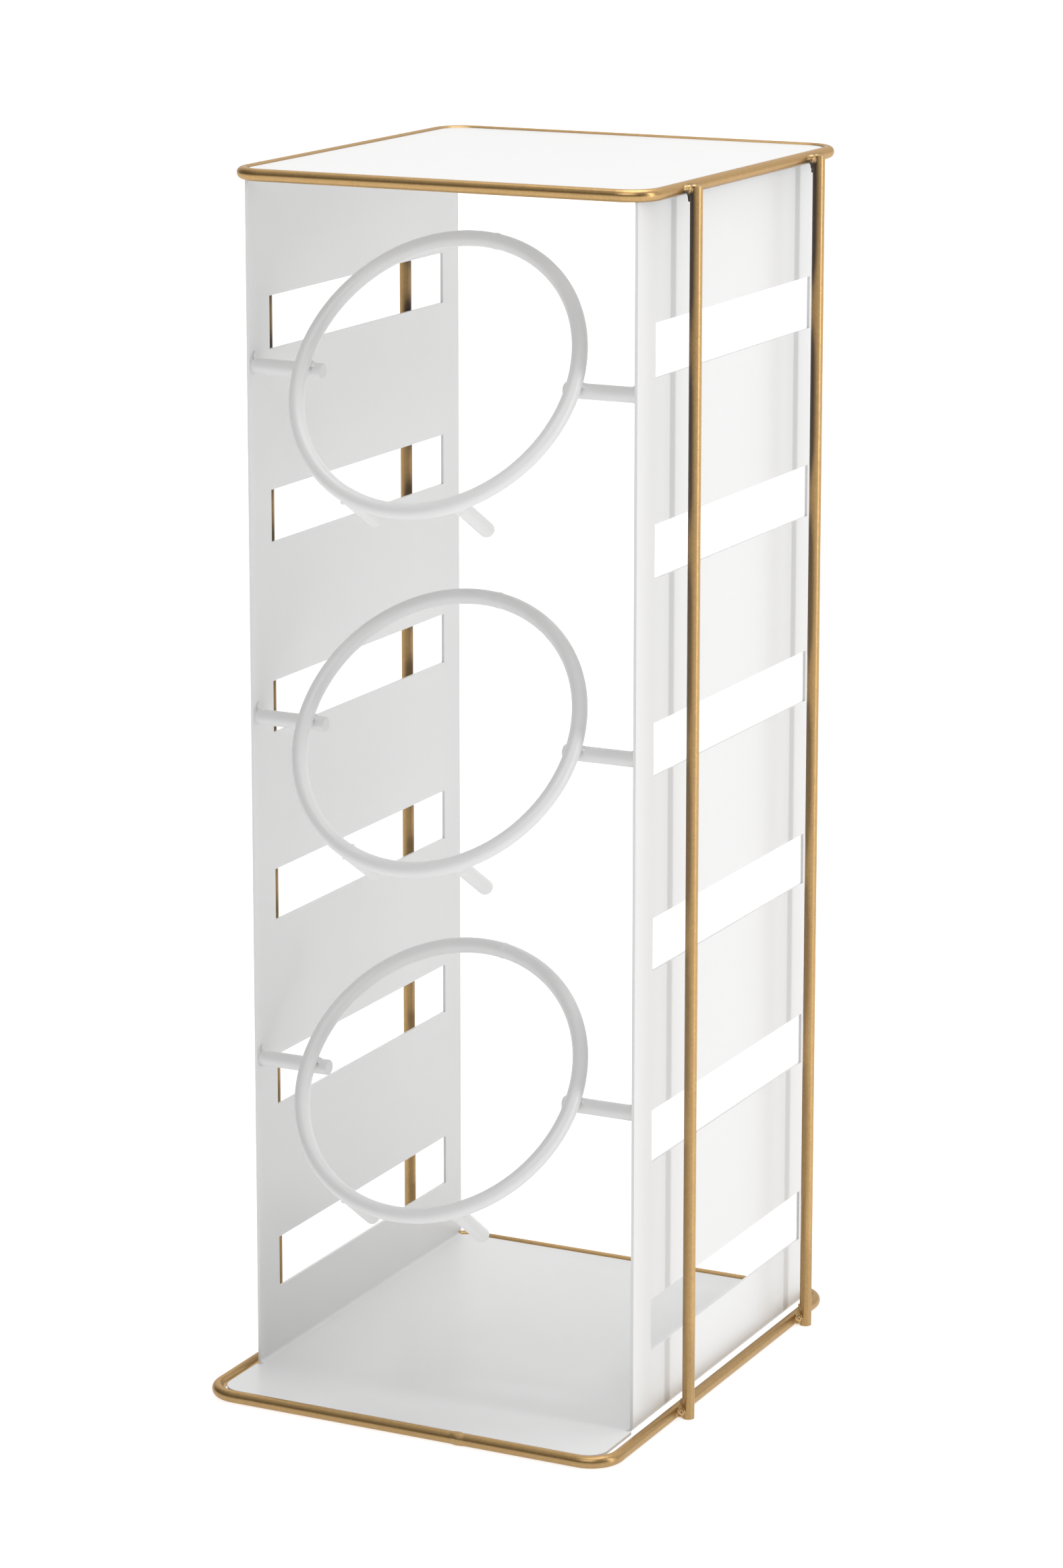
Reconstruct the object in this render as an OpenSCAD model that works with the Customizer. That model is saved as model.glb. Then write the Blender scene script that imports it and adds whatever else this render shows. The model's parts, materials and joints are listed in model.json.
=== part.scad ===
// Free-standing wire and sheet-metal rack with three tilted rings, one above another.
// A gold wire cage (two closed loops joined by four uprights) holds a folded white sheet body:
// a base plate, two slotted walls and a top plate. Each ring hangs between the walls on two arms
// and has two pins behind its lower edge.
// Frame: X to the right, Y to the back, Z up. The origin is on the floor, midway along the
// width and the depth of the whole rack.

/* [Overall] */
// Height from the floor to the top of the upper loop
height = 500; // [400:1:640]
// Width over the outer sides of the two wire loops
loop_w = 185; // [154:1:260]
// Depth over the top loop, front to back
top_d = 191; // [150:1:250]
// How far the base loop reaches in front of the top loop
base_overhang = 32; // [24:1:60]

/* [Wire cage] */
// Thickness of the cage wire
wire_d = 5; // [4:0.5:7]
// Bend radius of the loops' corners, to the middle of the wire
loop_corner_r = 12; // [10:1:20]
// Distance of the front uprights behind the top loop's front wire, centre to centre
front_upright_y = 35; // [28:1:60]
// Distance of the rear uprights in front of the loops' rear wire, centre to centre
rear_upright_y = 31; // [28:1:60]
// How far below the top of the upper loop the uprights end
upright_drop = 1.5; // [0:0.1:2]

/* [Sheet body] */
// Thickness of the sheet
sheet_t = 1.2; // [1:0.1:2]
// Gap between a wall's outer face and the loop wire beside it
wall_gap = 1.9; // [1:0.1:6]
// How far a plate's upper face stands above the middle of the wire that holds it
plate_rise = 1.7; // [1.2:0.1:2]
// Inner bend radius between the base plate and a wall
bend_r = 1.5; // [1:0.1:3]
// Width of the relief notch where a bend ends
notch_w = 1.5; // [1:0.1:3]

/* [Slots] */
// Slots in each wall
slot_count = 6; // [1:1:7]
// Height of a slot
slot_h = 21.5; // [8:0.5:30]
// Wall left in front of the slots
slot_front = 16.5; // [15:0.5:30]
// Wall left behind the slots
slot_back = 14.5; // [8:0.5:30]
// Wall left between the top plate and the highest slot
slot_top = 51; // [20:1:70]
// Wall left between the base plate and the lowest slot
slot_bottom = 28; // [10:1:50]

/* [Rings] */
// Thickness of the rod that the rings, arms and pins are made of
rod_d = 6.3; // [5:0.1:8]
// Diameter of a ring, to the middle of its rod
ring_d = 119; // [80:1:130]
// How far the top ring leans back from upright, in degrees
top_tilt = 35; // [20:1:45]
// How far the middle ring leans back from upright, in degrees
middle_tilt = 37; // [20:1:45]
// How far the bottom ring leans back from upright, in degrees
bottom_tilt = 41; // [20:1:45]
// Height of the bottom ring's arms above the floor
bottom_arm_z = 134.5; // [100:0.5:160]
// Distance of the top ring's arms below the top
top_arm_drop = 79.5; // [60:0.5:110]
// Wall left in front of the arms
arm_inset = 0.9; // [0.5:0.1:6]
// How far an arm reaches past its ring's rod, into the ring
arm_reach = 3.3; // [1:0.1:8]
// Length of a pin, from the middle of its ring's rod
pin_l = 31; // [15:1:45]
// Where a pin sits on its ring, in degrees from the ring's lowest point
pin_angle = 24.5; // [10:0.5:45]
// How far a pin points above the square to its ring, in degrees
pin_lift = 5; // [0:1:10]

/* [Welds] */
// Reach of the concave web in front of each upright
frame_web = 3.2; // [2:0.1:4]
// Width of that web
frame_web_t = 2.6; // [2:0.1:3]
// Reach of the web over each arm, along the arm and up the wall
arm_web = 4; // [2:0.1:6]
// Width of that web
arm_web_t = 2.4; // [1.5:0.1:4]
// Radius of the bead where a pin meets its ring
pin_bead_r = 4.3; // [3.9:0.1:5]
// Radius of the bead where a ring lies on an arm
arm_bead_r = 3.4; // [2.5:0.1:4]
// Width of the fillet round the wall end of an arm
arm_fillet = 1.1; // [0.5:0.1:1.6]
// Length of a tack weld between a plate and a loop
tack_l = 9; // [5:1:20]
// Radius of a tack weld
tack_r = 1.3; // [1:0.1:1.6]

/* [Hidden] */

$fn = 64;
EPS = 0.01;            // reach of a cutter past the face it cuts
corner_gap = 0.5;      // room between a wall's notched corner and the bend of the loop
GOLD = "#B08A4E";
WHITE = "#ECECEC";

wire_r = wire_d / 2;
rod_r = rod_d / 2;
ring_r = ring_d / 2;

BOTTOM = 0;
MIDDLE = 1;
TOP = 2;
LEVELS = [BOTTOM, MIDDLE, TOP];
SIDES = [-1, 1];
tilts = [bottom_tilt, middle_tilt, top_tilt];

// how far each ring, and the foremost part of all, reaches in front of the top loop
ring_reaches = [
    for (tilt = tilts) ring_r * sin(tilt) + rod_d * cos(tilt) - arm_inset - wire_d
];
front_reach = max(base_overhang, max(ring_reaches));

// loops: half width and front and rear wires, all to the middle of the wire
loop_x = loop_w / 2 - wire_r;
rear_y = (top_d + front_reach) / 2 - wire_r;
top_front_y = rear_y - (top_d - wire_d);
base_front_y = top_front_y - base_overhang;
inner_corner_r = loop_corner_r - wire_r;
base_wire_z = wire_r;
top_wire_z = height - wire_r;

// uprights stand against the outer sides of the loops
upright_x = loop_x + wire_d;
upright_ys = [top_front_y + front_upright_y, rear_y - rear_upright_y];

// sheet body
wall_out_x = loop_x - wire_r - wall_gap;
wall_in_x = wall_out_x - sheet_t;
wall_front_y = top_front_y + wire_r;
wall_rear_y = rear_y - wire_r;
base_top_z = base_wire_z + plate_rise;
top_top_z = top_wire_z + plate_rise;
wall_bottom_z = base_top_z + bend_r;
wall_top_z = top_top_z - sheet_t;
plate_bottom_z = base_top_z - sheet_t;
plate_corner_r = inner_corner_r - wall_gap / 2;
// length of a wall's top corner that is in the way of the loop's bend, with some room
corner_notch = inner_corner_r - sqrt(wall_gap * (2 * inner_corner_r - wall_gap)) + corner_gap;
tack_d = 2 * tack_r;

// slots
slot_first_z = base_top_z + slot_bottom;
slot_pitch = slot_count > 1
    ? (wall_top_z - slot_top - slot_h - slot_first_z) / (slot_count - 1)
    : 0;
slot_zs = [for (i = [0 : slot_count - 1]) slot_first_z + i * slot_pitch];

// rings, from the bottom up
arm_y = wall_front_y + arm_inset + rod_r;
top_arm_z = height - top_arm_drop;
arm_zs = [bottom_arm_z, (bottom_arm_z + top_arm_z) / 2, top_arm_z];
arm_end_x = ring_r - rod_r - arm_reach;
arm_end_round = 0.1 * rod_d;
arm_fillet_r = min(arm_fillet, arm_inset);
pin_x = ring_r * sin(pin_angle);
pin_y = -ring_r * cos(pin_angle);
pin_start = rod_r * (1 + sin(pin_lift)) / cos(pin_lift);   // its end clears the ring's rod
pin_end_round = 0.3 * rod_d;

// ---- shared shapes ----

// A straight round rod along +Z, with its far end rounded over
module round_ended_rod(length, r, end_r) {
    rotate_extrude()
        union() {
            square([r - end_r, length]);
            square([r, length - end_r]);
            translate([r - end_r, length - end_r])
                intersection() {
                    circle(r = end_r);
                    square(end_r + EPS);
                }
        }
}

// One quarter bend of a loop, about the Z axis, from +X round to +Y
module wire_bend() {
    rotate_extrude(angle = 90)
        translate([loop_corner_r, 0])
            circle(r = wire_r);
}

// A closed wire loop with rounded corners, flat at height z, from front to rear_y
module wire_loop(front, z) {
    cx = loop_x - loop_corner_r;
    front_cy = front - rear_y + loop_corner_r;
    rear_cy = -loop_corner_r;
    translate([0, rear_y, z])
        union() {
            for (y = [front - rear_y, 0])
                translate([-cx, y, 0])
                    rotate([0, 90, 0])
                        cylinder(h = 2 * cx, r = wire_r);
            for (s = SIDES)
                translate([s * loop_x, front_cy, 0])
                    rotate([-90, 0, 0])
                        cylinder(h = rear_cy - front_cy, r = wire_r);
            translate([cx, rear_cy, 0]) wire_bend();
            translate([-cx, rear_cy, 0]) rotate([0, 0, 90]) wire_bend();
            translate([-cx, front_cy, 0]) rotate([0, 0, 180]) wire_bend();
            translate([cx, front_cy, 0]) rotate([0, 0, 270]) wire_bend();
        }
}

// One upright: side is -1 for left and 1 for right
module upright(side, y) {
    translate([side * upright_x, y, 0])
        cylinder(h = height - upright_drop, r = wire_r);
}

// The outline of a plate whose chosen corners are rounded with radius r
module plate_outline(half_w, front, rear, front_r, rear_r) {
    union() {
        translate([-half_w, front + front_r])
            square([2 * half_w, rear - front - front_r - rear_r]);
        translate([-half_w + front_r, front])
            square([2 * (half_w - front_r), front_r + EPS]);
        translate([-half_w + rear_r, rear - rear_r - EPS])
            square([2 * (half_w - rear_r), rear_r + EPS]);
        if (front_r > 0)
            for (s = SIDES)
                translate([s * (half_w - front_r), front + front_r]) circle(r = front_r);
        if (rear_r > 0)
            for (s = SIDES)
                translate([s * (half_w - rear_r), rear - rear_r]) circle(r = rear_r);
    }
}

// Moves its children into the plane of a ring: X across, Y up the ring, Z out to the front
module on_ring(level) {
    tilt = tilts[level];
    translate([0, arm_y - rod_d * cos(tilt), arm_zs[level] + rod_d * sin(tilt)])
        rotate([90 - tilt, 0, 0])
            children();
}

module ring_torus() {
    rotate_extrude()
        translate([ring_r, 0])
            circle(r = rod_r);
}

// A pin behind its ring's rod, in the plane of the ring
module pin_rod(side) {
    translate([side * pin_x, pin_y, 0])
        rotate([180 + pin_lift, 0, 0])
            translate([0, 0, pin_start])
                round_ended_rod(pin_l - pin_start, rod_r, pin_end_round);
}

module arm_rod(side, level) {
    translate([side * wall_in_x, arm_y, arm_zs[level]])
        rotate([0, -90 * side, 0])
            round_ended_rod(wall_in_x - arm_end_x, rod_r, arm_end_round);
}

// ---- wire cage ----

module base_frame() { color(GOLD) wire_loop(base_front_y, base_wire_z); }
module top_frame() { color(GOLD) wire_loop(top_front_y, top_wire_z); }
module upright_front_left() { color(GOLD) upright(-1, upright_ys[0]); }
module upright_front_right() { color(GOLD) upright(1, upright_ys[0]); }
module upright_rear_left() { color(GOLD) upright(-1, upright_ys[1]); }
module upright_rear_right() { color(GOLD) upright(1, upright_ys[1]); }

// Section of the web between a loop wire at height 0 and the upright behind it: it reaches
// forward and, by dir, up or down, and its free side is hollow
module web_section(dir) {
    reach = wire_r + frame_web;
    difference() {
        translate([-reach, dir > 0 ? 0 : -reach]) square(reach);
        translate([-reach, dir * reach]) circle(r = frame_web);
    }
}

// Welds that join the uprights to one loop at height z; dir is 1 to build up, -1 to build down
module joint_welds(front, z, dir) {
    for (s = SIDES)
        for (y = upright_ys)
            difference() {
                translate([s * (loop_x + wire_r) - frame_web_t / 2, y, z])
                    rotate([90, 0, 90])
                        linear_extrude(frame_web_t)
                            web_section(dir);
                wire_loop(front, z);
                upright(s, y);
            }
}

module base_joint_welds() { color(GOLD) joint_welds(base_front_y, base_wire_z, 1); }
module top_joint_welds() { color(GOLD) joint_welds(top_front_y, top_wire_z, -1); }

// ---- sheet body ----

// The quarter bend along one side of the base plate, from the plate's face up to the wall
module side_bend() {
    bend_cx = wall_in_x - bend_r;
    translate([bend_cx, wall_rear_y, wall_bottom_z])
        rotate([90, 0, 0])
            linear_extrude(wall_rear_y - wall_front_y)
                intersection() {
                    difference() {
                        circle(r = bend_r + sheet_t);
                        circle(r = bend_r);
                    }
                    translate([0, -bend_r - sheet_t]) square(bend_r + sheet_t);
                }
}

// The area inside the base loop, which the plate and its bends keep to
module base_inside() {
    translate([0, 0, plate_bottom_z - EPS])
        linear_extrude(wall_bottom_z - plate_bottom_z + 2 * EPS)
            plate_outline(loop_x - wire_r, base_front_y + wire_r, wall_rear_y,
                inner_corner_r, inner_corner_r);
}

module base_plate() {
    flat_x = wall_in_x - bend_r;
    notch_y = wall_front_y - notch_w;
    color(WHITE)
        intersection() {
            union() {
                translate([0, 0, plate_bottom_z])
                    linear_extrude(sheet_t)
                        union() {
                            plate_outline(wall_out_x, base_front_y + wire_r, notch_y,
                                plate_corner_r, 0);
                            translate([-flat_x, notch_y - EPS])
                                square([2 * flat_x, wall_rear_y - notch_y + EPS]);
                        }
                side_bend();
                mirror([1, 0, 0]) side_bend();
            }
            base_inside();
        }
}

// A slotted wall on the right; the left one is its mirror image. Its top corners are notched
// for the bends of the top loop.
module wall() {
    slot_l = wall_rear_y - slot_back - (wall_front_y + slot_front);
    notch_z = height - wire_d;
    cut_x = wall_in_x - EPS;
    cut_t = sheet_t + 2 * EPS;
    difference() {
        translate([wall_in_x, wall_front_y, wall_bottom_z])
            cube([sheet_t, wall_rear_y - wall_front_y, wall_top_z - wall_bottom_z]);
        for (z = slot_zs)
            translate([cut_x, wall_front_y + slot_front, z])
                cube([cut_t, slot_l, slot_h]);
        for (y = [wall_front_y - EPS, wall_rear_y - corner_notch])
            translate([cut_x, y, notch_z])
                cube([cut_t, corner_notch + EPS, wire_d]);
    }
}

module right_wall() { color(WHITE) wall(); }
module left_wall() { color(WHITE) mirror([1, 0, 0]) wall(); }

module top_plate() {
    color(WHITE)
        translate([0, 0, wall_top_z])
            linear_extrude(sheet_t)
                plate_outline(loop_x - wire_r, wall_front_y, wall_rear_y,
                    inner_corner_r, inner_corner_r);
}

// Tack welds under the front and rear edges of a plate whose lower face is at plate_z
module tacks(front, wire_z, plate_z) {
    tack_x = loop_x / 2;
    for (s = SIDES)
        for (y = [front + wire_r, rear_y - wire_r])
            difference() {
                translate([s * tack_x - tack_l / 2, y, plate_z])
                    rotate([0, 90, 0])
                        cylinder(h = tack_l, r = tack_r);
                translate([s * tack_x - tack_l, y - tack_d, plate_z])
                    cube([2 * tack_l, 2 * tack_d, sheet_t + tack_d]);
                wire_loop(front, wire_z);
            }
}

module base_plate_tacks() { color(WHITE) tacks(base_front_y, base_wire_z, plate_bottom_z); }
module top_plate_tacks() { color(WHITE) tacks(top_front_y, top_wire_z, wall_top_z); }

// ---- rings ----

module ring(level) { color(WHITE) on_ring(level) ring_torus(); }
module arm(level, side) { color(WHITE) arm_rod(side, level); }
module pin(level, side) { color(WHITE) on_ring(level) pin_rod(side); }

module top_ring() { ring(TOP); }
module top_arm_left() { arm(TOP, -1); }
module top_arm_right() { arm(TOP, 1); }
module top_pin_left() { pin(TOP, -1); }
module top_pin_right() { pin(TOP, 1); }
module middle_ring() { ring(MIDDLE); }
module middle_arm_left() { arm(MIDDLE, -1); }
module middle_arm_right() { arm(MIDDLE, 1); }
module middle_pin_left() { pin(MIDDLE, -1); }
module middle_pin_right() { pin(MIDDLE, 1); }
module bottom_ring() { ring(BOTTOM); }
module bottom_arm_left() { arm(BOTTOM, -1); }
module bottom_arm_right() { arm(BOTTOM, 1); }
module bottom_pin_left() { pin(BOTTOM, -1); }
module bottom_pin_right() { pin(BOTTOM, 1); }

// ---- welds of the rings ----

// Fillet round an arm's wall end and the hollow web above it
module arm_wall_weld(level, side) {
    web = rod_r + arm_web;
    difference() {
        translate([side * wall_in_x, arm_y, arm_zs[level]])
            union() {
                rotate([0, -90 * side, 0])
                    cylinder(h = arm_fillet_r, r1 = rod_r + arm_fillet_r, r2 = rod_r);
                mirror([side > 0 ? 1 : 0, 0, 0])
                    translate([0, arm_web_t / 2, 0])
                        rotate([90, 0, 0])
                            linear_extrude(arm_web_t)
                                difference() {
                                    square([arm_web, web]);
                                    translate([arm_web, web]) circle(r = arm_web);
                                }
            }
        arm_rod(side, level);
    }
}

module arm_wall_welds() {
    color(WHITE)
        for (level = LEVELS)
            for (side = SIDES)
                arm_wall_weld(level, side);
}

module arm_ring_welds() {
    color(WHITE)
        for (level = LEVELS)
            for (side = SIDES)
                difference() {
                    on_ring(level)
                        translate([side * ring_r, 0, -rod_r])
                            sphere(r = arm_bead_r);
                    on_ring(level) ring_torus();
                    arm_rod(side, level);
                }
}

module pin_ring_welds() {
    color(WHITE)
        for (level = LEVELS)
            on_ring(level)
                for (side = SIDES)
                    difference() {
                        translate([side * pin_x, pin_y, -rod_r])
                            rotate([180 + pin_lift, 0, 0])
                                sphere(r = pin_bead_r);
                        ring_torus();
                        pin_rod(side);
                    }
}

// ---- nodes ----

base_frame();
top_frame();
upright_front_left();
upright_front_right();
upright_rear_left();
upright_rear_right();
base_joint_welds();
top_joint_welds();
base_plate();
left_wall();
right_wall();
top_plate();
base_plate_tacks();
top_plate_tacks();
top_ring();
top_arm_left();
top_arm_right();
top_pin_left();
top_pin_right();
middle_ring();
middle_arm_left();
middle_arm_right();
middle_pin_left();
middle_pin_right();
bottom_ring();
bottom_arm_left();
bottom_arm_right();
bottom_pin_left();
bottom_pin_right();
arm_wall_welds();
arm_ring_welds();
pin_ring_welds();
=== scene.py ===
"""The looks of the ring storage rack: gold wire cage, white sheet body and white rod rings.

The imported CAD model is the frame. Its wires, rods and sheets are shown with procedural materials,
and the edges of the cut ones are rounded. The weld nodes are replaced by lumpy beads, and butt
welds are added to the rings and the base loop. Lengths are in metres.
"""

import json
import math

import bmesh
import bpy
from mathutils import Matrix, Vector, noise


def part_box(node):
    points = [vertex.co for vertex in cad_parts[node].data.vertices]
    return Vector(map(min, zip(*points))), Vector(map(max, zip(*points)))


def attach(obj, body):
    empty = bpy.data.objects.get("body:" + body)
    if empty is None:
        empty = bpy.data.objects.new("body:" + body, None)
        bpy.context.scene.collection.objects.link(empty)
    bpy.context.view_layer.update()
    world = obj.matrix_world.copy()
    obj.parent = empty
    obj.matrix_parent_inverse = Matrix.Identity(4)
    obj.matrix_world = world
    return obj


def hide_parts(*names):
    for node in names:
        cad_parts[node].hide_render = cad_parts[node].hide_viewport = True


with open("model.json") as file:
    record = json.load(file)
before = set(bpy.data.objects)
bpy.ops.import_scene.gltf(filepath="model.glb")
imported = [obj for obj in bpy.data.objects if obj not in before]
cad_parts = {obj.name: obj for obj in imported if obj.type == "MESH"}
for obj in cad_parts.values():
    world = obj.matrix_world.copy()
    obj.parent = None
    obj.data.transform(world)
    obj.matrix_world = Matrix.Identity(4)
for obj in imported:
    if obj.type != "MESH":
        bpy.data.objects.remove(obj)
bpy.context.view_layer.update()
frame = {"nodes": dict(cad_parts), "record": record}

MM = 0.001
X, Y, Z = Vector((1, 0, 0)), Vector((0, 1, 0)), Vector((0, 0, 1))
LEVELS = ("top", "middle", "bottom")
SIDES = {"left": -1, "right": 1}

# ---- weld modelling ----
VOXEL = 0.28 * MM        # grid that a weld's parts are fused on
SKIN = 0.1 * MM          # how far a weld's rod sections lie under the real rods
LUMP_SIZE = 1.6 * MM     # wavelength of the lumps on a bead
RIPPLE_SIZE = 0.6 * MM
RIPPLE_HEIGHT = 0.05 * MM
# smoothing passes that turn the corners between a weld's parts into fillets
SMOOTHING = {"joint": 12, "arm": 5, "arm_ring": 6, "pin": 9, "seam": 3, "tack": 3}
LUMP_HEIGHT = {
    "joint": 0.16 * MM,
    "arm": 0.16 * MM,
    "arm_ring": 0.16 * MM,
    "pin": 0.16 * MM,
    "seam": 0.07 * MM,
    "tack": 0.1 * MM,
}
# how much each coordinate of a weld shifts its noise, so that no two are alike
NOISE_SHIFT = {
    "joint": (31, 57, 11),
    "arm": (41, 0, 23),
    "arm_ring": (13, 0, 71),
    "pin": (53, 0, 19),
}

# ---- gold paint ----
GOLD = (0.52, 0.325, 0.125)
GOLD_ON_WELDS = (0.54, 0.345, 0.145)
GOLD_ROUGHNESS = 0.29
GOLD_GRAIN = 0.2         # contrast of the flakes and height of the grain
PAINTED_SHADE = (0.03, 0.014, 0.005)   # painted shade: the gold paint's colour where other parts stand close
PAINTED_SHADE_REACH = 45 * MM    # how close another surface has to stand to cast painted shade
SHADED_BELOW, CLEAR_ABOVE = 0.66, 0.93   # openness where the painted shade is full, and where there is none
FLOOR_GLOW = 0.8         # least openness just above the bright floor: painted floor light that lifts the painted shade there
FLOOR_GLOW_TOP = 0.4     # height where that has faded

# ---- white powder coat ----
SHEET_WHITE = (0.83, 0.83, 0.828)
ROD_WHITE = (0.8, 0.8, 0.798)
COAT_ROUGHNESS = 0.3

# ---- light ----
# softboxes: name, place, aim, width and height, watts
SOFTBOXES = (
    ("side", (2.0, 0.0, 0.9), (0, 0, 0.3), (0.27, 1.9), 11.5),
    ("front", (0.5, -2.0, 2.1), (0, 0, 0.2), (1.8, 1.4), 15),
    ("top", (0.1, 0.2, 2.2), (0, 0, 0.3), (1.4, 1.4), 16),
)
# light of the room: along each axis it goes from the first level to the second between two
# values of that axis of the direction; the three add up
ROOM_LIGHT = (
    ("X", (-0.5, 0.9), (0.08, 0.06)),
    ("Z", (0.3, 1.0), (0.0, 0.46)),
    ("Y", (0.0, 0.75), (0.0, 0.8)),
)
FLOOR_REACH = 30
FLOOR_WHITE = (0.4, 0.4, 0.4, 1)
FLOOR_OWN_LIGHT = 0.78   # the floor is mostly self-lit, so that it stays white

# ---- camera ----
CAMERA_YAW = 26.4        # degrees, from the rack's front towards its right side
CAMERA_PITCH = 11.12     # degrees below the horizon
CAMERA_DISTANCE = 1.9188
CAMERA_AIM_HEIGHT = 0.3355
CAMERA_AIM_SIDE = 0.0045
CAMERA_LENS = 108.6      # millimetres
CAMERA_SENSOR = 36       # millimetres
CAMERA_SHIFT = -0.14     # keeps the uprights nearly parallel, as in the photograph


# ---------------------------------------------------------------- frame sizes


def centre_of(node):
    low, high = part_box(node)
    return (Vector(low) + Vector(high)) / 2


def half_of(node):
    low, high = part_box(node)
    return (Vector(high) - Vector(low)) / 2


WIRE_R = half_of("top_frame").z
ROD_R = half_of("top_arm_left").z


class Ring:
    """Where a ring lies: its middle, its radius, and its up and front directions."""

    def __init__(self, level):
        half = half_of(level + "_ring")
        self.level = level
        self.centre = centre_of(level + "_ring")
        self.radius = half.x - ROD_R
        self.tilt = math.atan2(half.y - ROD_R, half.z - ROD_R)
        self.up = Vector((0, math.sin(self.tilt), math.cos(self.tilt)))
        self.front = Vector((0, -math.cos(self.tilt), math.sin(self.tilt)))

    def at(self, angle):
        """A point on the middle of the rod; angle is in radians from +X towards up."""
        return self.centre + self.radius * (math.cos(angle) * X + math.sin(angle) * self.up)

    def along(self, angle):
        """The direction of the rod there."""
        return -math.sin(angle) * X + math.cos(angle) * self.up

    def arc(self, angle, half_length, steps=7):
        """Points on the middle of the rod on both sides of angle."""
        spread = half_length / self.radius
        return [self.at(angle + spread * (2 * i / (steps - 1) - 1)) for i in range(steps)]


# ---------------------------------------------------------------- mesh helpers


def add_tube(bm, points, radius, segments=28):
    """A closed round tube along points; radius is a number or one number per point."""
    radii = radius if isinstance(radius, (list, tuple)) else [radius] * len(points)
    rings = []
    side = None
    for i, (point, r) in enumerate(zip(points, radii)):
        ahead = (points[min(i + 1, len(points) - 1)] - points[max(i - 1, 0)]).normalized()
        if side is None:
            side = ahead.orthogonal().normalized()
        side = (side - side.dot(ahead) * ahead).normalized()
        other = ahead.cross(side)
        turns = [2 * math.pi * k / segments for k in range(segments)]
        rings.append(
            [bm.verts.new(point + r * (math.cos(a) * side + math.sin(a) * other)) for a in turns]
        )
    for first, second in zip(rings, rings[1:]):
        for k in range(segments):
            m = (k + 1) % segments
            bm.faces.new((first[k], first[m], second[m], second[k]))
    bm.faces.new(list(reversed(rings[0])))
    bm.faces.new(rings[-1])


def add_blob(bm, centre, radii, axes=(X, Y, Z)):
    """An ellipsoid with the given radii along axes."""
    turn = Matrix([[axis[i] for axis in axes] for i in range(3)])
    stretch = Matrix.Diagonal(radii)
    bmesh.ops.create_icosphere(
        bm,
        subdivisions=3,
        radius=1.0,
        matrix=Matrix.Translation(centre) @ (turn @ stretch).to_4x4(),
    )


def add_fin(bm, corner, run, rise, thickness, steps=6):
    """A hollow-edged fin in the corner between two directions, given with their lengths."""
    side = run.cross(rise).normalized() * thickness / 2
    outline = [corner]
    for i in range(steps + 1):
        a = math.pi / 2 * i / steps
        outline.append(corner + run * (1 - math.sin(a)) + rise * (1 - math.cos(a)))
    near = [bm.verts.new(p - side) for p in outline]
    far = [bm.verts.new(p + side) for p in outline]
    bm.faces.new(near)
    bm.faces.new(list(reversed(far)))
    for k in range(len(outline)):
        m = (k + 1) % len(outline)
        bm.faces.new((near[m], near[k], far[k], far[m]))
    bmesh.ops.recalc_face_normals(bm, faces=bm.faces)


def seed_at(kind, place):
    return sum(weight * value for weight, value in zip(NOISE_SHIFT[kind], place))


def lumpy(mesh, seed, lump):
    """Moves the vertices in and out along their normals by smooth noise."""
    offset = seed * Vector((7.31, 3.17, 5.53))
    moves = []
    for v in mesh.vertices:
        big = noise.noise(v.co / LUMP_SIZE + offset)
        small = noise.noise(v.co / RIPPLE_SIZE + offset)
        moves.append(v.normal * (big * lump + small * RIPPLE_HEIGHT))
    for v, move in zip(mesh.vertices, moves):
        v.co += move


def fused(kind, build, seed, floor=None):
    """The mesh of one bead: the parts that build adds are fused, smoothed and made lumpy."""
    bm = bmesh.new()
    build(bm)
    raw = bpy.data.meshes.new(kind)
    bm.to_mesh(raw)
    bm.free()
    holder = bpy.data.objects.new(kind, raw)
    bpy.context.scene.collection.objects.link(holder)
    remesh = holder.modifiers.new("fuse", "REMESH")
    remesh.mode = "VOXEL"
    remesh.voxel_size = VOXEL
    smooth = holder.modifiers.new("fillet", "SMOOTH")
    smooth.factor = 0.5
    smooth.iterations = SMOOTHING[kind]
    graph = bpy.context.evaluated_depsgraph_get()
    mesh = bpy.data.meshes.new_from_object(holder.evaluated_get(graph))
    bpy.data.objects.remove(holder)
    bpy.data.meshes.remove(raw)
    lumpy(mesh, seed, LUMP_HEIGHT[kind])
    if floor is not None:
        for v in mesh.vertices:
            v.co.z = max(v.co.z, floor)
    return mesh


def piece(name, meshes, material, nodes=()):
    """Joins meshes into one named object that rides on the rack."""
    bm = bmesh.new()
    for mesh in meshes:
        bm.from_mesh(mesh)
    for face in bm.faces:
        face.smooth = True
    joined = bpy.data.meshes.new(name)
    bm.to_mesh(joined)
    bm.free()
    for mesh in meshes:
        bpy.data.meshes.remove(mesh)
    obj = bpy.data.objects.new(name, joined)
    bpy.context.scene.collection.objects.link(obj)
    obj.data.materials.append(material)
    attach(obj, "root")
    if nodes:
        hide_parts(*nodes)
    return obj


# ---------------------------------------------------------------- materials


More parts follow.
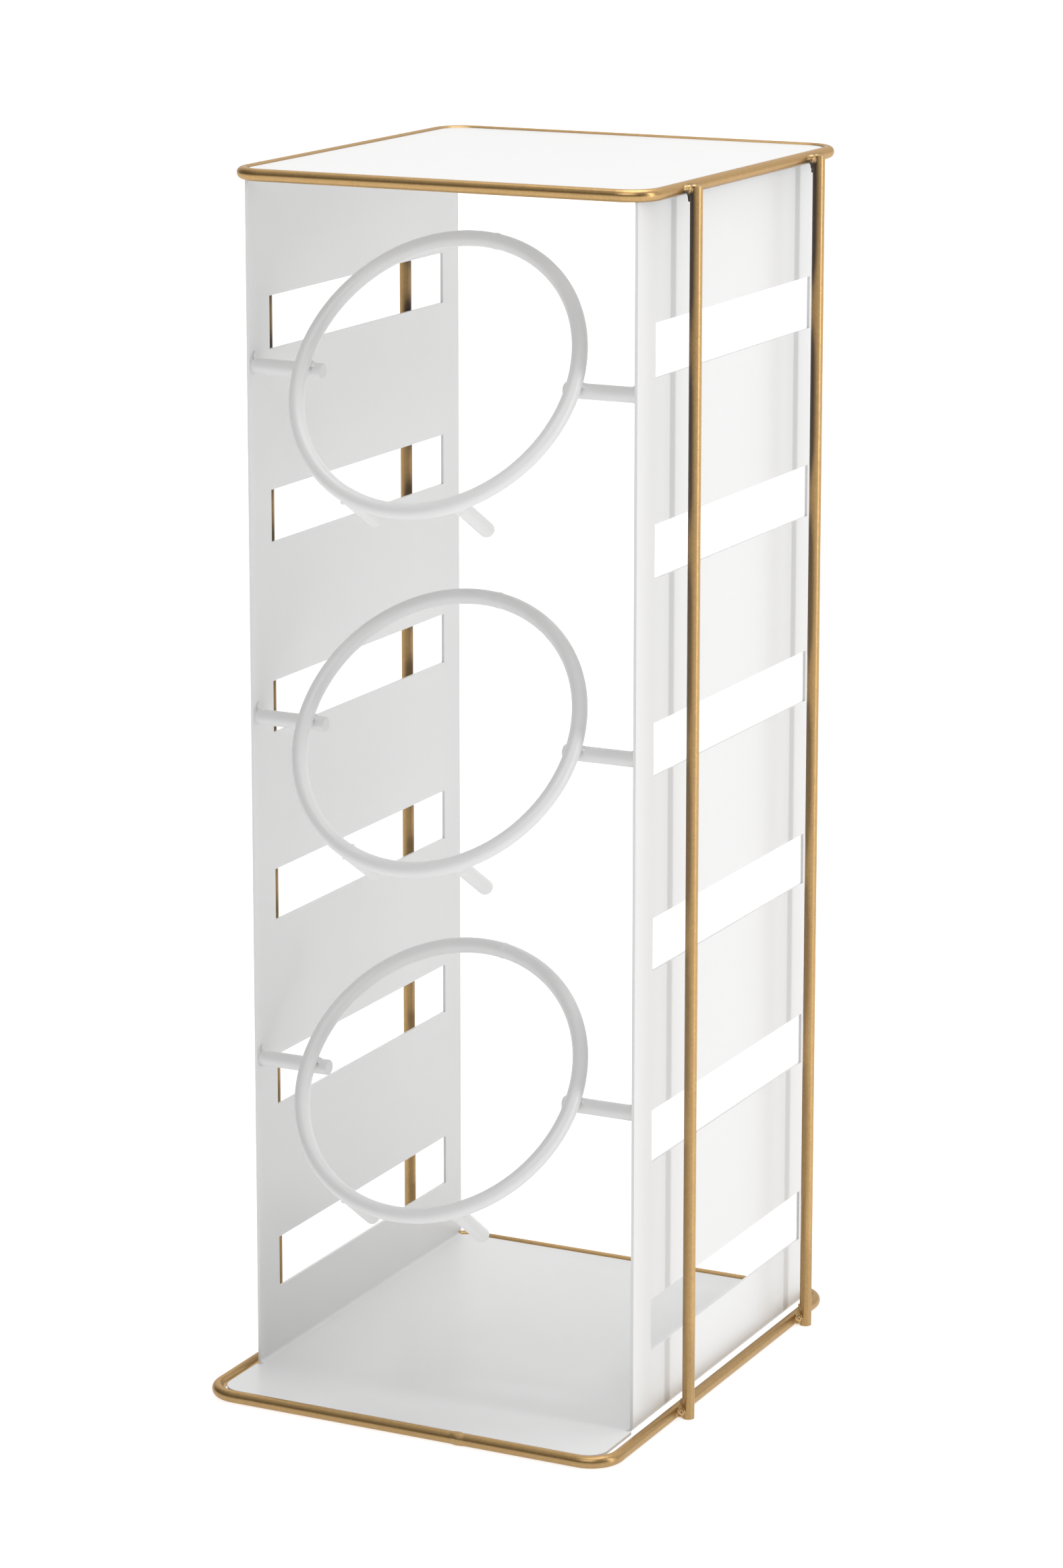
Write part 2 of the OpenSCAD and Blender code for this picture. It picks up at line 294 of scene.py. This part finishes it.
class Nodes:
    """A short way to write a material's node tree."""

    def __init__(self, name):
        self.material = bpy.data.materials.new(name)
        self.material.use_nodes = True
        self.tree = self.material.node_tree
        self.shader = self.tree.nodes["Principled BSDF"]
        self.place = self.tree.nodes.new("ShaderNodeTexCoord").outputs["Object"]

    def link(self, out, to):
        self.tree.links.new(out, to)

    def shade(self, **values):
        """Sets sockets of the shader; a socket's spaces are written as underscores."""
        for name, value in values.items():
            self.shader.inputs[name.replace("_", " ")].default_value = value

    def noise(self, size, detail=2.0, rough=0.5):
        """Smooth noise whose features are about size metres across."""
        node = self.tree.nodes.new("ShaderNodeTexNoise")
        node.inputs["Scale"].default_value = 1 / size
        node.inputs["Detail"].default_value = detail
        node.inputs["Roughness"].default_value = rough
        self.link(self.place, node.inputs["Vector"])
        return node.outputs["Fac"]

    def flakes(self, size):
        """A random level for each cell of about size metres."""
        node = self.tree.nodes.new("ShaderNodeTexVoronoi")
        node.inputs["Scale"].default_value = 1 / size
        self.link(self.place, node.inputs["Vector"])
        return node.outputs["Color"]

    def height(self):
        node = self.tree.nodes.new("ShaderNodeSeparateXYZ")
        self.link(self.place, node.inputs["Vector"])
        return node.outputs["Z"]

    def openness(self, reach):
        """1 on open surfaces, falling to 0 where others stand closer than reach."""
        node = self.tree.nodes.new("ShaderNodeAmbientOcclusion")
        node.samples = 8
        node.inputs["Distance"].default_value = reach
        return node.outputs["AO"]

    def remap(self, value, low, high, new_low, new_high):
        node = self.tree.nodes.new("ShaderNodeMapRange")
        for name, number in zip(
            ("From Min", "From Max", "To Min", "To Max"), (low, high, new_low, new_high)
        ):
            node.inputs[name].default_value = number
        self.link(value, node.inputs["Value"])
        return node.outputs["Result"]

    def math(self, operation, a, b):
        node = self.tree.nodes.new("ShaderNodeMath")
        node.operation = operation
        for socket, value in zip(node.inputs, (a, b)):
            if isinstance(value, (int, float)):
                socket.default_value = value
            else:
                self.link(value, socket)
        return node.outputs["Value"]

    def blend(self, factor, first, second):
        """A colour between two others; each is an (r, g, b) or another node's output."""
        node = self.tree.nodes.new("ShaderNodeMix")
        node.data_type = "RGBA"
        self.link(factor, node.inputs["Factor"])
        for socket, value in zip((node.inputs[6], node.inputs[7]), (first, second)):
            if isinstance(value, tuple):
                socket.default_value = (*value, 1)
            else:
                self.link(value, socket)
        return node.outputs[2]

    def bump(self, *layers):
        """Stacks (height, distance in metres) layers of relief on the shader's normal."""
        below = None
        for height, distance in layers:
            node = self.tree.nodes.new("ShaderNodeBump")
            node.inputs["Distance"].default_value = distance
            self.link(height, node.inputs["Height"])
            if below is not None:
                self.link(below, node.inputs["Normal"])
            below = node.outputs["Normal"]
        self.link(below, self.shader.inputs["Normal"])


def gold_paint(name, tint):
    """Satin bronze-gold metallic paint: fine flakes, a faint mottle and painted shade in crevices,
    less near the floor.
    """
    m = Nodes(name)
    dark = tuple(c * 0.74 for c in tint)
    light = tuple(min(1.0, c * 1.28) for c in tint)
    speckle = m.remap(m.flakes(0.34 * MM), 0.0, 1.0, 0.5 - GOLD_GRAIN, 0.5 + GOLD_GRAIN)
    mottle = m.remap(m.noise(2.4 * MM, detail=3), 0.3, 0.7, -0.08, 0.08)
    paint = m.blend(m.math("ADD", speckle, mottle), dark, light)
    # painted shade: ambient occlusion darkens the paint where other surfaces stand close, and near
    # the floor painted floor light lifts it
    lit = m.remap(m.openness(PAINTED_SHADE_REACH), SHADED_BELOW, CLEAR_ABOVE, 0.0, 1.0)
    near_floor = m.remap(m.height(), 0.01, FLOOR_GLOW_TOP, FLOOR_GLOW, 0.0)
    lit = m.math("MAXIMUM", lit, near_floor)
    m.link(m.blend(lit, PAINTED_SHADE, paint), m.shader.inputs["Base Color"])
    # the painted shade also lowers the metallic, so the shaded sides reflect less
    m.link(m.remap(lit, 0.0, 1.0, 0.35, 0.93), m.shader.inputs["Metallic"])
    m.link(
        m.remap(m.noise(1.3 * MM), 0.3, 0.7, GOLD_ROUGHNESS, GOLD_ROUGHNESS + 0.07),
        m.shader.inputs["Roughness"],
    )
    m.shade(Coat_Weight=0.6, Coat_Roughness=0.3, Specular_Tint=(0.75, 0.6, 0.42, 1))
    m.bump((m.noise(0.5 * MM, detail=3), GOLD_GRAIN * 0.02 * MM), (m.noise(2.2 * MM), 0.014 * MM))
    return m.material


def powder_coat(name, white, peel):
    """Semi-gloss white powder coat: a faint tone, uneven gloss and orange peel of strength peel."""
    m = Nodes(name)
    low = tuple(c * 0.985 for c in white)
    m.link(m.blend(m.noise(38 * MM, detail=2), low, white), m.shader.inputs["Base Color"])
    m.link(
        m.remap(m.noise(6 * MM, detail=3), 0.2, 0.8, COAT_ROUGHNESS, COAT_ROUGHNESS + 0.06),
        m.shader.inputs["Roughness"],
    )
    m.shade(Specular_IOR_Level=0.5, Coat_Weight=0.15, Coat_Roughness=0.18)
    m.bump(
        (m.noise(1.5 * MM, detail=1), peel * 0.01 * MM),
        (m.noise(0.45 * MM, detail=2), peel * 0.002 * MM),
    )
    return m.material


MATERIALS = {
    "gold_wire": gold_paint("gold wire paint", GOLD),
    "gold_weld": gold_paint("gold weld paint", GOLD_ON_WELDS),
    "white_sheet": powder_coat("white sheet powder coat", SHEET_WHITE, 1.0),
    "white_rod": powder_coat("white rod powder coat", ROD_WHITE, 0.7),
    "white_weld": powder_coat("white weld powder coat", ROD_WHITE, 0.5),
}
for row in frame["record"]["subparts"]:
    node = frame["nodes"][row["node"]]
    node.data.materials.clear()
    node.data.materials.append(MATERIALS[row["material_slot"]])

# ---------------------------------------------------------------- cut edges


def round_edges(node, width):
    """Rounds the sharp edges of a CAD node, as the coat does."""
    soften = frame["nodes"][node].modifiers.new("rounded edges", "BEVEL")
    soften.width = width
    soften.segments = 2
    soften.limit_method = "ANGLE"
    soften.angle_limit = math.radians(40)
    soften.harden_normals = True


SHEET_EDGE_ROUND = 0.28 * MM
WIRE_END_ROUND = 0.5 * MM
for name in ("left_wall", "right_wall", "base_plate", "top_plate"):
    round_edges(name, SHEET_EDGE_ROUND)
for place in ("front", "rear"):
    for word in SIDES:
        round_edges(f"upright_{place}_{word}", WIRE_END_ROUND)

# ---------------------------------------------------------------- welds of the cage


def joint_bead(loop, upright, side, end):
    """The weld between an upright and a loop; end is -1 at the floor and 1 at the top."""
    loop_z = centre_of(loop).z
    post = centre_of(upright)
    tip_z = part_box(upright)[1 if end > 0 else 0][2]
    loop_x = post.x - side * 2 * WIRE_R
    touch = Vector((post.x - side * WIRE_R, post.y, loop_z))
    inward = -end * Z

    def at(out, ahead, beyond):
        """A point so many mm from touch: outwards, forwards and towards the rack's end."""
        return touch + Vector((side * out, -ahead, end * beyond)) * MM

    def build(bm):
        wire = [Vector((loop_x, post.y + d * MM, loop_z)) for d in (-11, -5, 0, 4, 8)]
        add_tube(bm, wire, WIRE_R - SKIN)
        start = Vector((post.x, post.y, tip_z - end * SKIN))
        add_tube(bm, [start + inward * d * MM for d in (0, 3.25, 6.5, 9.75, 13)], WIRE_R - SKIN)
        web = 2.6 * WIRE_R
        add_fin(bm, touch + 0.3 * MM * side * X, -web * Y, inward * web, 2.6 * MM)
        groove = [at(0.6, 2.5, 1.5), at(0.7, 2.8, 0.6), at(0.7, 2.9, -0.5), at(0.3, 3.0, -1.8)]
        add_tube(bm, groove, [0.8 * MM, 1.35 * MM, 1.45 * MM, 1.0 * MM])
        run_out = [at(0.2, 2.6, 0.3), at(-0.2, 4.2, 0.2), at(-0.7, 6.0, 0.1)]
        add_tube(bm, run_out, [1.5 * MM, 1.15 * MM, 0.7 * MM])
        behind = [at(0.2, -2.1, 1.0), at(0.3, -2.3, 0.0), at(0.2, -2.1, -1.2)]
        add_tube(bm, behind, [0.5 * MM, 0.7 * MM, 0.5 * MM])
        if end > 0:
            cap = Vector((post.x - side * 1.2 * MM, post.y - 0.2 * MM, tip_z - 0.25 * MM))
            add_blob(bm, cap, (1.7 * MM, 1.9 * MM, 0.9 * MM))

    return fused("joint", build, seed_at("joint", (post.x, post.y, loop_z)), floor=0.0)


for loop, end, nodes in (
    ("base_frame", -1, "base_joint_welds"),
    ("top_frame", 1, "top_joint_welds"),
):
    beads = [
        joint_bead(loop, f"upright_{place}_{word}", side, end)
        for place in ("front", "rear")
        for word, side in SIDES.items()
    ]
    piece(nodes + "_beads", beads, MATERIALS["gold_weld"], (nodes,))

# ---------------------------------------------------------------- welds of the rings


def ends_of(arm):
    """How far an arm's inner and outer ends are from the middle of the rack."""
    return sorted(abs(corner[0]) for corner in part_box(arm))


def arm_wall_bead(ring, side, arm):
    """A ragged collar where an arm meets its wall, with a hollow fin above it."""
    middle = centre_of(arm)
    root = Vector((side * ends_of(arm)[1], middle.y, middle.z))
    inner = -side * X
    seed = seed_at("arm", root)
    spots = 9
    full, thin = 0.95 * MM, 0.5 * MM    # the wall ends in front of the arm, so it's thin there

    def build(bm):
        add_tube(bm, [root + inner * d * MM for d in (0, 2.5, 5, 7.5)], ROD_R - SKIN)
        for k in range(spots):
            a = 2 * math.pi * (k + 0.35) / spots
            out = math.cos(a) * Y + math.sin(a) * Z
            share = 0.75 + 0.4 * noise.noise(Vector((k * 1.7, seed, 0.3)))
            place = root + out * (ROD_R - 0.35 * MM) + inner * 0.2 * MM
            add_blob(bm, place, [share * (full if out.y > -0.6 else thin)] * 3)
        foot = root + (ROD_R - 0.5 * MM) * Z - 0.3 * MM * Y
        add_fin(bm, foot, inner * 4.6 * MM, Z * 4.4 * MM, 1.9 * MM)

    return fused("arm", build, seed)


def arm_ring_bead(ring, side, arm):
    """Small beads in the grooves where a ring lies on its arm."""
    angle = 0 if side > 0 else math.pi
    rod = ring.at(angle)
    middle = centre_of(arm)
    axis = Vector((rod.x, middle.y, middle.z))
    touch = (rod + axis) / 2
    stub = abs(rod.x) - ends_of(arm)[0] - 0.3 * MM
    # of each bead: outwards along the arm, up the ring, radius; in mm
    grooves = ((-2.6, 1.2, 1.35), (2.7, 0.9, 1.15), (-1.4, -1.9, 1.0), (0.6, 2.2, 1.1))

    def build(bm):
        add_tube(bm, ring.arc(angle, 7 * MM), ROD_R - SKIN)
        add_tube(bm, [axis - side * X * stub, axis, axis + side * X * 7 * MM], ROD_R - SKIN)
        for out, up, radius in grooves:
            add_blob(bm, touch + (side * out * X + up * ring.up) * MM, [radius * MM] * 3)

    return fused("arm_ring", build, seed_at("arm_ring", rod))


def pin_bead(ring, side, pin):
    """The collar at the root of a pin, fuller on the side towards the middle of the rack."""
    middle = centre_of(pin)
    angle = math.atan2(-math.sqrt(ring.radius**2 - middle.x**2), middle.x)
    root = ring.at(angle)
    ahead = (middle - root).normalized()
    along = ring.along(angle)
    across = ahead.cross(along).normalized()
    inner = -side * (along if along.x > 0 else -along)
    seed = seed_at("pin", middle)
    spots = 8

    def build(bm):
        add_tube(bm, ring.arc(angle, 8 * MM), ROD_R - SKIN)
        add_tube(bm, [root + ahead * d * MM for d in (0, 5, 10)], ROD_R - SKIN)
        groove = root + ahead * (ROD_R + 0.35 * MM)
        for k in range(spots):
            a = 2 * math.pi * k / spots
            out = math.cos(a) * along + math.sin(a) * across
            size = 1.0 + 0.35 * noise.noise(Vector((k * 1.3, seed, 1.7)))
            add_blob(bm, groove + out * (ROD_R - 0.3 * MM), [size * MM] * 3)
        fuller = root + ahead * 2.9 * MM + inner * 3.6 * MM
        add_blob(bm, fuller, (1.7 * MM, 1.4 * MM, 1.4 * MM))

    return fused("pin", build, seed)


rings = [Ring(level) for level in LEVELS]
for nodes, maker, part in (
    ("arm_wall_welds", arm_wall_bead, "arm"),
    ("arm_ring_welds", arm_ring_bead, "arm"),
    ("pin_ring_welds", pin_bead, "pin"),
):
    beads = [
        maker(ring, side, f"{ring.level}_{part}_{word}")
        for ring in rings
        for word, side in SIDES.items()
    ]
    piece(nodes + "_beads", beads, MATERIALS["white_weld"], (nodes,))

# ---------------------------------------------------------------- seams


def seam_bead(points, radius, proud, seed):
    """The low ridge of a ground butt weld round a rod; there are five points along it."""
    heights = (-SKIN, 0.4 * proud, proud, 0.5 * proud, -SKIN)

    def build(bm):
        add_tube(bm, points, [radius + height for height in heights])

    return fused("seam", build, seed, floor=0.0)


RING_SEAM_ANGLE = math.radians(81)   # just past the top of the ring
RING_SEAM_PROUD = 0.22 * MM
for ring in rings:
    points = ring.arc(RING_SEAM_ANGLE, 1.7 * MM, steps=5)
    seam = seam_bead(points, ROD_R, RING_SEAM_PROUD, ring.centre.z * 10)
    piece(ring.level + "_ring_seam", [seam], MATERIALS["white_rod"])

BASE_SEAM_SHARE = 0.27               # where it is on the front wire, from the middle to the side
BASE_SEAM_PROUD = 0.3 * MM
BASE_SEAM_SEED = 4.2
base_low, base_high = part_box("base_frame")
seam_middle = Vector((base_high[0] * BASE_SEAM_SHARE, base_low[1] + WIRE_R, base_low[2] + WIRE_R))
points = [seam_middle + X * d * MM for d in (-4, -2, 0, 2, 4)]
seam = seam_bead(points, WIRE_R, BASE_SEAM_PROUD, BASE_SEAM_SEED)
piece("base_frame_seam", [seam], MATERIALS["gold_weld"])

# ---------------------------------------------------------------- hidden tack welds


TACK_LENGTH = 9 * MM
TACK_RADIUS = 1.3 * MM


def tack_bead(middle, seed):
    """A short bead in the groove under a plate's edge; it's thickest in the middle."""
    steps = 6
    shares = [i / steps for i in range(steps + 1)]

    def build(bm):
        spots = [middle + X * TACK_LENGTH * (share - 0.5) for share in shares]
        sizes = [TACK_RADIUS * (0.7 + 0.28 * math.sin(math.pi * share)) for share in shares]
        add_tube(bm, spots, sizes)

    mesh = fused("tack", build, seed)
    for v in mesh.vertices:
        v.co.z = min(v.co.z, middle.z)
    return mesh


def tack_piece(nodes, plate):
    low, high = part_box(plate)
    reach = half_of(nodes).x - TACK_LENGTH / 2
    beads = [
        tack_bead(Vector((side * reach, y, low[2])), side * 3 + y * 50)
        for side in SIDES.values()
        for y in (low[1], high[1])
    ]
    piece(nodes + "_beads", beads, MATERIALS["white_weld"], (nodes,))


tack_piece("base_plate_tacks", "base_plate")
tack_piece("top_plate_tacks", "top_plate")

# ---------------------------------------------------------------- stage, light and camera


def floor():
    bm = bmesh.new()
    corners = ((-1, -1), (1, -1), (1, 1), (-1, 1))
    bm.faces.new([bm.verts.new((x * FLOOR_REACH, y * FLOOR_REACH, 0)) for x, y in corners])
    mesh = bpy.data.meshes.new("floor")
    bm.to_mesh(mesh)
    bm.free()
    plane = bpy.data.objects.new("floor", mesh)
    bpy.context.scene.collection.objects.link(plane)
    m = Nodes("pale floor")
    m.shade(Base_Color=FLOOR_WHITE, Roughness=0.3, Specular_IOR_Level=0.5)
    m.shade(Emission_Color=(1, 1, 1, 1), Emission_Strength=FLOOR_OWN_LIGHT)
    mesh.materials.append(m.material)


def softbox(name, place, aim, size, power):
    light = bpy.data.lights.new(name, "AREA")
    light.shape = "RECTANGLE"
    light.size, light.size_y = size
    light.energy = power
    lamp = bpy.data.objects.new(name, light)
    lamp.location = place
    lamp.rotation_euler = (Vector(aim) - Vector(place)).to_track_quat("-Z", "Y").to_euler()
    bpy.context.scene.collection.objects.link(lamp)


def surround():
    """A white room to the camera; to the rack, dim in front and brighter above and behind."""
    world = bpy.data.worlds.new("studio")
    world.use_nodes = True
    bpy.context.scene.world = world
    tree = world.node_tree
    back = tree.nodes["Background"]
    place = tree.nodes.new("ShaderNodeTexCoord")
    split = tree.nodes.new("ShaderNodeSeparateXYZ")
    tree.links.new(place.outputs["Generated"], split.inputs["Vector"])

    def level(axis, between, levels):
        node = tree.nodes.new("ShaderNodeMapRange")
        node.interpolation_type = "SMOOTHSTEP"
        node.inputs["From Min"].default_value, node.inputs["From Max"].default_value = between
        node.inputs["To Min"].default_value, node.inputs["To Max"].default_value = levels
        tree.links.new(split.outputs[axis], node.inputs["Value"])
        return node.outputs["Result"]

    def join(operation, a, b):
        node = tree.nodes.new("ShaderNodeMath")
        node.operation = operation
        tree.links.new(a, node.inputs[0])
        tree.links.new(b, node.inputs[1])
        return node.outputs["Value"]

    side, above, behind = (level(*row) for row in ROOM_LIGHT)
    light = join("ADD", join("ADD", side, above), behind)
    sight = tree.nodes.new("ShaderNodeLightPath").outputs["Is Camera Ray"]
    tree.links.new(join("MAXIMUM", light, sight), back.inputs["Strength"])
    back.inputs["Color"].default_value = (1, 1, 1, 1)


def camera():
    yaw, pitch = math.radians(CAMERA_YAW), math.radians(CAMERA_PITCH)
    ahead = Vector(
        (-math.sin(yaw) * math.cos(pitch), math.cos(yaw) * math.cos(pitch), -math.sin(pitch))
    )
    right = Vector((math.cos(yaw), math.sin(yaw), 0))
    data = bpy.data.cameras.new("camera")
    data.lens = CAMERA_LENS
    data.sensor_width = CAMERA_SENSOR
    data.shift_y = CAMERA_SHIFT
    data.clip_start, data.clip_end = 0.05, 100
    view = bpy.data.objects.new("camera", data)
    aim = CAMERA_AIM_HEIGHT * Z + CAMERA_AIM_SIDE * right
    view.location = aim - CAMERA_DISTANCE * ahead
    view.rotation_euler = ahead.to_track_quat("-Z", "Y").to_euler()
    bpy.context.scene.collection.objects.link(view)
    bpy.context.scene.camera = view


floor()
surround()
for row in SOFTBOXES:
    softbox(*row)
camera()
bpy.context.scene.view_settings.view_transform = "Standard"
